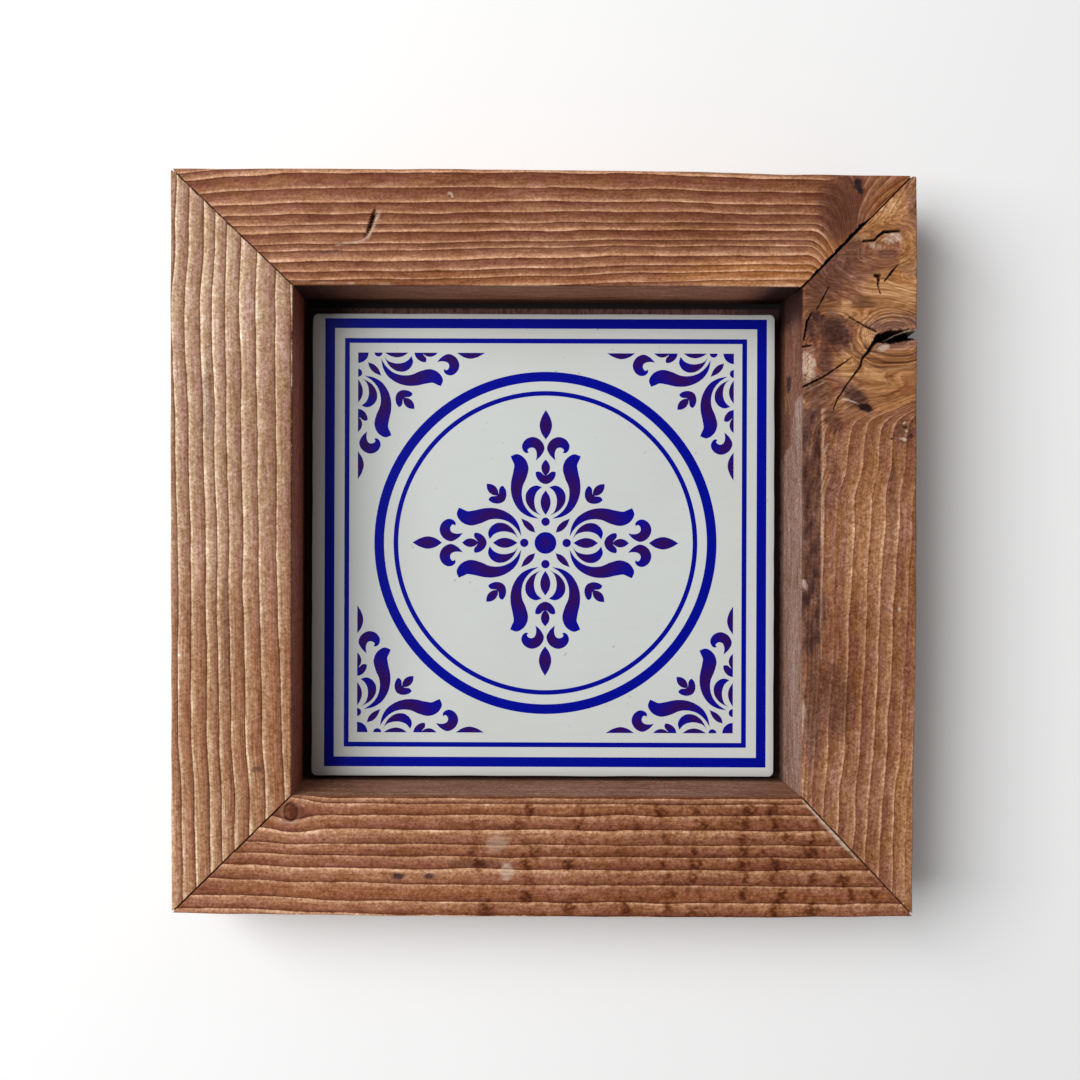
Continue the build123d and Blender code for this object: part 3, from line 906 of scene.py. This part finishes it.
rail_bottom = pine_batten(
    "stained_rail_bottom", "bottom", even_stations(batten_length, station_step), grain_step,
    bottom_grain, bottom_marks, bottom_wall,
)
rail_bottom.data.materials.append(stained_pine(
    "stained pine, bottom", reddish=linear(140, 83, 63), olive=linear(140, 86, 52),
    late=linear(200, 150, 114), pores=linear(88, 42, 25), gold=linear(162, 106, 64),
    wall_dust_and_sheen=linear(174, 134, 108), line_mm=0.9, line_strength=0.95, pore_strength=0.95,
    gains={"Streaks": 1.2, "Speckle": 2.5, "Blotch": 1.3, "Mottle": 2.0, "Cloud": 1.0},
))
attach(rail_bottom, "root")
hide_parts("rail_bottom")

# Left batten. Eight wide rings run its whole length, bowed out near the top and drawn in
# towards the tile near the bottom. Its face is the palest of the four.
left_lines = np.array([4.5, 10.2, 15.0, 19.4, 23.1, 26.5, 31.1, 35.1])
left_drift = [
    (-116, -3.2, -1.6), (-82, -2.8, -1.0), (-60, -1.7, 0), (-6, 0, 0), (35, 0.3, 1.2),
    (74, 0.6, 2.5), (92, 0.5, 1.2), (116, 0.5, 0.8),
]


def left_grain(u, v, z):
    """Rings of the left batten: lines along it that drift and bow."""
    points = np.stack([u, v * 3], -1)
    level = drifted(u, v, batten_widths["left"], left_drift) + 0.13 * ripples(points, 34, 31)
    across = level + 0.8 * (batten_depth - z)
    count, year_width = ring_count(across, left_lines, 4.6, 3.8)
    return across, -count, year_width, np.zeros(across.shape)


left_dark = [
    (-89.8, -70.8, 1.5, 1.0, 10, 0.5), (-105.3, 41.9, 1.6, 14, 0, 0.3),
    (-99.3, -30.1, 1.2, 20, 0, 0.2),
]
left_tones = [
    (-97.0, -66.0, 22.0, 44.0, 0, 0.73), (-97.0, 0.0, 16.0, 34.0, 0, 0.91),
    (-97.0, 66.0, 22.0, 34.0, 0, 1.07), (-84.0, 10.0, 5.0, 60.0, 0, 0.92),
]


def left_marks(x, y):
    """Tints and shading of the left batten, redder towards its lower end."""
    none = np.zeros(x.shape)
    redder = 0.85 * smoothstep(30, -70, y)
    tints = np.stack([none, patches(x, y, left_dark), none, redder], -1)
    return none, tints, toned(x, y, left_tones)


def left_wall(u, z):
    """The wall inside the left batten: a reddish layer of dust and painted sheen, and painted
    shade that deepens towards its foot and its top corner.
    """
    deeper = 0.14 + 0.4 * smoothstep(30, 14, z) + 0.3 * smoothstep(15, 9, z)
    return 0.8 + 0 * u, np.maximum(deeper, 0.95 * smoothstep(54, 74, u))


stile_left = pine_batten(
    "stained_stile_left", "left", even_stations(batten_length, station_step), grain_step,
    left_grain, left_marks, left_wall,
)
stile_left.data.materials.append(stained_pine(
    "stained pine, left", reddish=linear(164, 122, 106), olive=linear(160, 124, 94),
    late=linear(228, 196, 162), pores=linear(106, 65, 45), gold=linear(178, 126, 94),
    wall_dust_and_sheen=linear(182, 100, 76), line_mm=0.88, line_strength=0.95, pore_strength=1.0,
    gains={"Streaks": 1.2, "Speckle": 2.3, "Blotch": 1.2, "Mottle": 1.6, "Cloud": 0.8},
))
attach(stile_left, "root")
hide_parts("stile_left")

# The tile: white-bodied clay pressed six inches square, with a cushioned front edge and a
# white glaze. It lies on the board, a little low in the opening.
tile_centre = opening_centre + [0, -1.7]
tile_half = 76.2
tile_back = 3.5
tile_front = 10.0
tile_corner = 1.8
tile_rounding = 0.28
tile_chamfer = 0.4
cushion_width = 2.4
cushion_drop = 0.18
points_per_corner = 7
points_per_side = 90
grey_margin = 0.07344


def rounded_square(half, corner):
    """Points round a square of that half side whose corners are arcs, counted from the low end
    of the right side."""
    corner_turns = np.linspace(0, np.pi / 2, points_per_corner)
    run = np.linspace(-1, 1, points_per_side + 2)[1:-1] * (half - corner)
    side = np.stack([np.full(points_per_side, half), run], -1)
    arc = half - corner + corner * np.stack([np.cos(corner_turns), np.sin(corner_turns)], -1)
    quarter = np.concatenate([side, arc])
    spins = [np.array([[c, s], [-s, c]]) for c, s in ((1, 0), (0, 1), (-1, 0), (0, -1))]
    return np.concatenate([quarter @ spin for spin in spins])


def cushion_tile():
    """The tile: a profile of (inset, height) carried round a rounded square. The front falls off
    towards the edge by the square of the share of the cushion's width that is left, its rim is
    a quarter circle, and the edge line wavers a little."""
    turn = np.linspace(0, 0.9 * np.pi / 2, 6)
    shoulder = np.linspace(tile_rounding, cushion_width, 8)
    fall = cushion_drop * (1 - shoulder / cushion_width) ** 2
    rim_top = tile_front - fall[0]
    inset = np.concatenate([[tile_chamfer, 0.0], tile_rounding * (1 - np.cos(turn)), shoulder])
    up = np.concatenate([
        [tile_back, tile_back + tile_chamfer], rim_top - tile_rounding * (1 - np.sin(turn)),
        tile_front - fall,
    ])
    waver = 0.06 * np.minimum(ripples(rounded_square(tile_half, tile_corner), 16, 41) - 0.8, 0)
    stretch = (1 + waver / tile_half)[:, None]
    flat = tile_centre + np.stack([
        rounded_square(tile_half - i, max(tile_corner - i, 0.3)) * stretch for i in inset
    ])
    points = np.concatenate([flat, np.broadcast_to(up[:, None, None], flat.shape[:2] + (1,))], -1)
    rows, cols = flat.shape[:2]
    places = np.arange(rows * cols).reshape(rows, cols)
    ahead = np.roll(places, -1, axis=1)
    quads = np.stack([places[:-1], ahead[:-1], ahead[1:], places[1:]], -1).reshape(-1, 4)
    faces = quads.tolist() + [places[0][::-1].tolist(), places[-1].tolist()]
    return closed_piece("glazed_tile", points, faces, {}, sharp_edge=40)


tile = cushion_tile()
glaze, tree, shader = new_material("white glaze")
place = add_node(tree, "ShaderNodeTexCoord").outputs["Object"]
cloud = noise(tree, place, 34.0, 3.0, 0.5)
weave = noise(tree, stretched(tree, place, (60, 900, 60)), 1.0, 2.0, 0.5)
speck = noise(tree, place, 420.0, 2.0, 0.5)
cloudy = maths(tree, "MULTIPLY_ADD", cloud, 1.6, -0.3, clamp=True)
woven = maths(tree, "MULTIPLY_ADD", weave, 0.5, -0.15, clamp=True)
specks = ramp(tree, speck, [(0.0, 0.0), (0.73, 0.0), (0.8, 0.7), (1.0, 1.0)])
white = mixed(tree, cloudy, linear(204, 207, 203), linear(210, 215, 213))
white = mixed(tree, woven, white, linear(202, 204, 202))
white = mixed(tree, specks, white, linear(150, 140, 120))
sideways, upward = add_node(tree, "ShaderNodeSeparateXYZ", Vector=place).outputs[:2]
from_middle = [
    maths(tree, "ABSOLUTE", maths(tree, "SUBTRACT", along, float(middle) * 0.001))
    for along, middle in zip((sideways, upward), tile_centre)
]
outward = maths(tree, "MAXIMUM", *from_middle)
# The glaze turns greyer over its last 3 mm towards the tile's edge.
margin = maths(tree, "MULTIPLY_ADD", outward, 320.0, -320.0 * grey_margin, clamp=True)
white = mixed(tree, maths(tree, "MULTIPLY", margin, 0.7), white, linear(186, 187, 184))
tree.links.new(white, shader.inputs["Base Color"])
shader.inputs["Roughness"].default_value = 0.32
shader.inputs["Specular IOR Level"].default_value = 0.25
bump = add_node(tree, "ShaderNodeBump", Height=cloud, Strength=0.25, Distance=0.0004)
tree.links.new(bump.outputs[0], shader.inputs["Normal"])
tile.data.materials.append(glaze)
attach(tile, "root")
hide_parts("tile")

# The ornament: cobalt blue printed on the glaze as a thin film and fired. Round the edge run a
# band and a line, then a double ring round a cross of palmettes, and a quarter of the same
# motif fills each corner. Petals shade to purple in their middles.
print_centre = opening_centre + [0.74, -0.97]
pixel = 0.3295
film_low = tile_front - 0.12
film_high = tile_front + 0.03


def smooth_curve(points, count):
    """A smooth line through the points: cubic pieces whose slopes are the mean slopes of their
    neighbours, at an even spacing along the chords."""
    p = np.array(points, float)
    t = np.concatenate([[0], np.cumsum(np.hypot(*np.diff(p, axis=0).T))])
    slope = np.gradient(p, t, axis=0)
    s = np.linspace(0, t[-1], count)
    k = np.clip(np.searchsorted(t, s, side="right") - 1, 0, len(t) - 2)
    h = (t[k + 1] - t[k])[:, None]
    q = (s - t[k])[:, None] / h
    start = p[k] * (1 + 2 * q) * (1 - q) ** 2 + slope[k] * h * q * (1 - q) ** 2
    return start + p[k + 1] * q * q * (3 - 2 * q) + slope[k + 1] * h * q * q * (q - 1)


def petal(one_edge, other_edge, purple_at, purple_spread, count=26):
    """A petal as a grid of points between two edges that share their ends, and how purple it is:
    a bell curve along the petal about purple_at."""
    a, b = smooth_curve(one_edge, count), smooth_curve(other_edge, count)
    across = np.linspace(0, 1, 7)[None, :, None]
    grid = a[:, None] * (1 - across) + b[:, None] * across
    along = np.linspace(0, 1, count)[:, None]
    purple = np.exp(-(((along - purple_at) / purple_spread) ** 2)) * np.ones((1, 7))
    return grid, purple * (0.55 + 0.45 * np.sin(np.pi * across[..., 0]))


def film(name, sheets):
    """One thin closed slab for each sheet of points, all in one piece. A sheet is a grid of
    points in pixels about the middle of the print, with its share of purple."""
    corners, faces, purples, first = [], [], [], 0
    for grid, purple in sheets:
        rows, cols = grid.shape[:2]
        flat = print_centre + grid.reshape(-1, 2) * pixel
        for level in (film_high, film_low):
            corners.append(np.column_stack([flat, np.full(len(flat), level)]))
            purples.append(purple.ravel())
        top = first + np.arange(rows * cols).reshape(rows, cols)
        low = top + rows * cols
        for sheet in (top, low[:, ::-1]):
            quads = np.stack([sheet[:-1, :-1], sheet[1:, :-1], sheet[1:, 1:], sheet[:-1, 1:]], -1)
            faces.append(quads.reshape(-1, 4))
        rim = np.concatenate([top[0, :-1], top[:-1, -1], top[-1, :0:-1], top[:0:-1, 0]])
        ahead = np.roll(rim, -1)
        faces.append(np.stack([rim, ahead, ahead + rows * cols, rim + rows * cols], -1))
        first += 2 * rows * cols
    layers = {"purple": ("FLOAT", "value", np.concatenate(purples))}
    faces = np.concatenate(faces).tolist()
    return closed_piece(name, np.concatenate(corners), faces, layers, merge=2e-6)


cobalt, tree, shader = new_material("cobalt print")
purple = add_node(tree, "ShaderNodeAttribute", props={"attribute_name": "purple"}).outputs["Fac"]
place = add_node(tree, "ShaderNodeTexCoord").outputs["Object"]
depth = noise(tree, place, 160.0, 2.0, 0.5)
blue = mixed(tree, depth, linear(0, 8, 134), linear(0, 9, 152))
tree.links.new(mixed(tree, purple, blue, linear(46, 10, 84)), shader.inputs["Base Color"])
shader.inputs["Roughness"].default_value = 0.3
shader.inputs["Specular IOR Level"].default_value = 0.1

crescent = petal(
    [(4.2, 27.1), (8.5, 31), (10.8, 37), (11.2, 43.9), (8.5, 51.4), (3.6, 55.8)],
    [(4.2, 27.1), (14.6, 33.4), (19.6, 41.5), (19.6, 49), (15.2, 55.2), (9.8, 57.4), (3.6, 55.8)],
    0.38, 0.3,
)
tall_petal = petal(
    [
        (6.7, 24.1), (14.4, 29.2), (20.5, 36.4), (23.6, 45.9), (23.2, 55.4), (19.3, 65),
        (17.2, 75.5), (21, 84.4), (29, 88.8), (35, 86.6),
    ],
    [
        (6.7, 24.1), (16.5, 26.2), (24.1, 30.5), (30.8, 39.1), (34.6, 51), (34.6, 60.2),
        (32.3, 71.7), (31.6, 78.6), (33.4, 82.4), (35, 86.6),
    ],
    0.52, 0.26, 44,
)
volute = petal(
    [
        (9.7, 82.5), (4.6, 87.4), (1.3, 94.5), (5.2, 102.6), (13.2, 105.9), (20.6, 102.9),
        (23.8, 96.6), (22.3, 91.8), (19.4, 89.7), (16.8, 90.3),
    ],
    [
        (9.7, 82.5), (9.0, 87), (9.4, 91.2), (11, 94.2), (13.7, 95.3), (16.4, 94.6),
        (18.1, 92.9), (18.0, 91.6), (17.4, 90.8), (16.8, 90.3),
    ],
    0.4, 0.3, 40,
)
bud_edge = [(0, 27.9), (3.2, 33.2), (5.0, 40.4), (3.8, 46.6), (0, 52.6)]
tip_leaf_edge = [(0, 103.4), (4.2, 109.6), (6.2, 117.6), (4.2, 125.6), (0, 132.9)]
sprig_leaf_edge = [(0, 66.6), (3.2, 70.6), (4.3, 75.4), (2.9, 80), (0, 83.4)]
cup_top = [(0, 67.2), (2.6, 68.6), (5.4, 70.9), (8.2, 71.4), (10.1, 70.6)]
cup_bottom = [(0, 58.8), (4.4, 60.2), (8.0, 63.6), (9.8, 67.4), (10.1, 70.6)]
lens_edge = [(10.2, 9.8), (12.2, 16.2), (16.6, 20.8), (24.4, 24.4)]
eye_radius = 10.9
dot_radius = 4.2
dot_from_middle = 21.2


def mirrored(points):
    """The points across the upright axis."""
    return [(-x, y) for x, y in points]


def turned(sheet, degrees, flip=1):
    """A sheet turned about the middle of the motif, and first mirrored where flip is -1."""
    c, s = math.cos(math.radians(degrees)), math.sin(math.radians(degrees))
    return (sheet[0] * [flip, 1]) @ np.array([[c, s], [-s, c]]), sheet[1]


def disc(x, y, radius, start=0, sweep=360):
    """A disc, or a sector of it from start through sweep degrees, purple in its middle."""
    turn = np.radians(start + np.linspace(0, sweep, 3 + sweep // 10))[:, None]
    reach = radius * np.linspace(0, 1, 5)[None, :]
    grid = np.stack([x + reach * np.cos(turn), y + reach * np.sin(turn)], -1)
    return grid, np.ones((len(turn), 1)) * (1 - reach / radius) * 0.8


def both_halves(edge):
    """An edge that starts on the upright axis, with its mirror image before it."""
    return mirrored(edge)[::-1] + edge[1:]


def axis_pieces(half):
    """The pieces that stand on the upright axis: bud, tip leaf, sprig leaf and cup. With half,
    only the right half of each, as where the edge of the print cuts them."""
    leaves = [(bud_edge, 0.5, 0.4), (tip_leaf_edge, 0.5, 0.4), (sprig_leaf_edge, 0.4, 0.4)]
    made = []
    for edge, at, spread in leaves:
        axis = [edge[0], (0, (edge[0][1] + edge[-1][1]) / 2), edge[-1]]
        made.append(petal(axis if half else mirrored(edge), edge, at, spread))
    low, high = (edge if half else both_halves(edge) for edge in (cup_bottom, cup_top))
    return made + [petal(low, high, 0.5, 0.3)]


def sprig():
    """The small leaf in its cup, as it stands on the upright axis."""
    return [petal(mirrored(sprig_leaf_edge), sprig_leaf_edge, 0.4, 0.4), axis_pieces(False)[-1]]


lens = petal(lens_edge, [(y, x) for x, y in lens_edge], 0.5, 0.5)

paired = (crescent, tall_petal, volute)
dot = disc(0, dot_from_middle, dot_radius)
rosette = [disc(0, 0, eye_radius)]
for quarter in (0, 90, 180, 270):
    rosette += [turned(sheet, quarter) for sheet in axis_pieces(False)]
    rosette += [turned(sheet, quarter, flip) for sheet in paired for flip in (1, -1)]
    rosette += [turned(sheet, quarter - 45) for sheet in sprig()]
    rosette += [turned(lens, quarter), turned(dot, quarter)]
rosette_print = film("print_rosette", rosette)

corner_scale = 0.955
corner_reach = (187.8, 189.8)
half_dot = disc(0, dot_from_middle, dot_radius, -90, 180)
level_half_dot = disc(dot_from_middle, 0, dot_radius, 0, 180)
quarter_motif = [disc(0, 0, eye_radius, 0, 90), lens, half_dot, level_half_dot]
upright_half = [*axis_pieces(True), *paired]
quarter_motif += upright_half + [turned(sheet, -90, -1) for sheet in upright_half]
quarter_motif += [turned(sheet, -45) for sheet in sprig()]
corners = []
for across, up in ((-1, -1), (1, -1), (1, 1), (-1, 1)):
    for grid, purple in quarter_motif:
        middle = np.array([across * corner_reach[0], up * corner_reach[1]])
        corners.append((middle - grid * corner_scale * [across, up], purple))
corner_print = film("print_corners", corners)


def closed_band(outer, inner):
    """A band between two closed outlines with as many points, as one sheet that ends where it
    began."""
    grid = np.stack([outer, inner], 1)
    return np.concatenate([grid, grid[:1]]), np.zeros((len(grid) + 1, 2))


def square_outline(half_x, half_y):
    """The four corners of an upright rectangle about the middle of the print."""
    return np.array([(-half_x, -half_y), (half_x, -half_y), (half_x, half_y), (-half_x, half_y)])


def ring_outline(radius):
    """A circle about the middle of the print, in 240 points."""
    turn = np.linspace(0, 2 * np.pi, 241)[:-1]
    return radius * np.stack([np.cos(turn), np.sin(turn)], -1)


border_halves = [((220.7, 223.9), (211, 214.2)), ((201, 204.2), (196.2, 199.4))]
ring_radii = [(171, 161.4), (151.8, 147.2)]
border = film("print_border", [
    closed_band(square_outline(*outer), square_outline(*inner)) for outer, inner in border_halves
])
rings = film("print_rings", [
    closed_band(ring_outline(outer), ring_outline(inner)) for outer, inner in ring_radii
])
for piece in (rosette_print, corner_print, border, rings):
    piece.data.materials.append(cobalt)
    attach(piece, "root")

# Behind the tile lies a thin wooden board, held in the rebate by eight steel wire pins that
# are driven into the battens from behind. A strip of the board shows above the tile.
# The board's front is painted darker towards its sides and near-black along its top, as the shade
# that the battens cast into the gaps round the tile.
board_side_shade = (0.058, 0.018)
top_shadow_from = 0.0774
board_front = 0.0031
board, tree, shader = new_material("backing board")
place = add_node(tree, "ShaderNodeTexCoord").outputs["Object"]
chips = noise(tree, stretched(tree, place, (900, 300, 900)), 1.0, 4.0, 0.6)
stain = noise(tree, place, 40.0, 3.0, 0.5)
pale_chips = maths(tree, "MULTIPLY_ADD", chips, 3.0, -1.0, clamp=True)
brown = mixed(tree, pale_chips, linear(62, 36, 36), linear(150, 108, 102))
brown = mixed(tree, maths(tree, "MULTIPLY", stain, 0.6), brown, linear(82, 52, 47))
sideways, upward, forward = add_node(tree, "ShaderNodeSeparateXYZ", Vector=place).outputs
on_front = maths(tree, "MULTIPLY_ADD", forward, 4000.0, -4000.0 * board_front, clamp=True)
from_middle = maths(tree, "SUBTRACT", sideways, opening_centre[0] * 0.001)
from_middle = maths(tree, "SUBTRACT", maths(tree, "ABSOLUTE", from_middle), board_side_shade[0])
side_shade = maths(tree, "DIVIDE", from_middle, board_side_shade[1], clamp=True)
brown = mixed(tree, maths(tree, "MULTIPLY", side_shade, on_front), brown, linear(58, 32, 36))
top_shadow = maths(tree, "MULTIPLY_ADD", upward, 1600.0, -1600.0 * top_shadow_from, clamp=True)
top_shadow = maths(tree, "MULTIPLY", top_shadow, on_front)
tree.links.new(mixed(tree, top_shadow, brown, linear(18, 8, 9)), shader.inputs["Base Color"])
shader.inputs["Roughness"].default_value = 0.85
bump = add_node(tree, "ShaderNodeBump", Height=chips, Strength=0.4, Distance=0.0002)
tree.links.new(bump.outputs[0], shader.inputs["Normal"])

steel, tree, shader = new_material("steel pins")
place = add_node(tree, "ShaderNodeTexCoord").outputs["Object"]
dull = noise(tree, place, 900.0, 3.0, 0.6)
grey = mixed(tree, dull, linear(120, 118, 116), linear(176, 174, 172))
tree.links.new(grey, shader.inputs["Base Color"])
tree.links.new(maths(tree, "MULTIPLY_ADD", dull, 0.3, 0.3), shader.inputs["Roughness"])
shader.inputs["Metallic"].default_value = 1.0

for node_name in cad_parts:
    if node_name == "backing_board" or node_name.startswith("panel_pin"):
        carried = bpy.data.objects[node_name]
        carried.data.materials.clear()
        carried.data.materials.append(board if node_name == "backing_board" else steel)

# The floor is a large sheet of pale paper that the frame lies on. It stands in for the white
# ground of the photograph and is no part of the object.
floor_half = 3.0
floor_below = 0.0003
floor_mesh = bpy.data.meshes.new("pale_floor")
floor_corners = floor_half * np.array([(-1, -1, 0), (1, -1, 0), (1, 1, 0), (-1, 1, 0)])
floor_mesh.from_pydata(floor_corners, [], [(0, 1, 2, 3)])
floor = bpy.data.objects.new("pale_floor", floor_mesh)
floor.location.z = -floor_below
bpy.context.scene.collection.objects.link(floor)
paper, tree, shader = new_material("pale floor")
shader.inputs["Base Color"].default_value = (0.96, 0.96, 0.96, 1)
shader.inputs["Roughness"].default_value = 0.9
shader.inputs["Specular IOR Level"].default_value = 0.1
floor_mesh.materials.append(paper)

# Light is soft: a large panel up to the left and a little to the top, and a pale surround. The
# camera looks straight down from 0.4 m above the frame's face, and stands a little to the left.
world = bpy.data.worlds.new("pale surround")
world.use_nodes = True
world.node_tree.nodes["Background"].inputs["Color"].default_value = (1, 1, 1, 1)
world.node_tree.nodes["Background"].inputs["Strength"].default_value = 0.23
bpy.context.scene.world = world

panel_place = np.array([-1.0, 0.34, 1.25])
panel_side = 1.2
panel_watts = 30.6
light = bpy.data.lights.new("key_panel", "AREA")
light.shape = "SQUARE"
light.size = panel_side
light.energy = panel_watts
panel = bpy.data.objects.new("key_panel", light)
aim = panel_place / np.linalg.norm(panel_place)
panel.location = panel_place
panel.rotation_euler = (math.acos(aim[2]), 0, math.atan2(aim[1], aim[0]) + math.pi / 2)
bpy.context.scene.collection.objects.link(panel)

camera_data = bpy.data.cameras.new("camera")
camera_data.sensor_width = 36.0
camera_data.lens = 42.667
camera_data.shift_x = 0.0546
camera_data.shift_y = -0.0185
camera_data.clip_start = 0.01
camera = bpy.data.objects.new("camera", camera_data)
camera.location = (-0.0192, 0.00705, 0.4317)
camera.rotation_euler = (0, 0, 0.0033)
bpy.context.scene.collection.objects.link(camera)
bpy.context.scene.camera = camera
bpy.context.scene.view_settings.view_transform = "Standard"
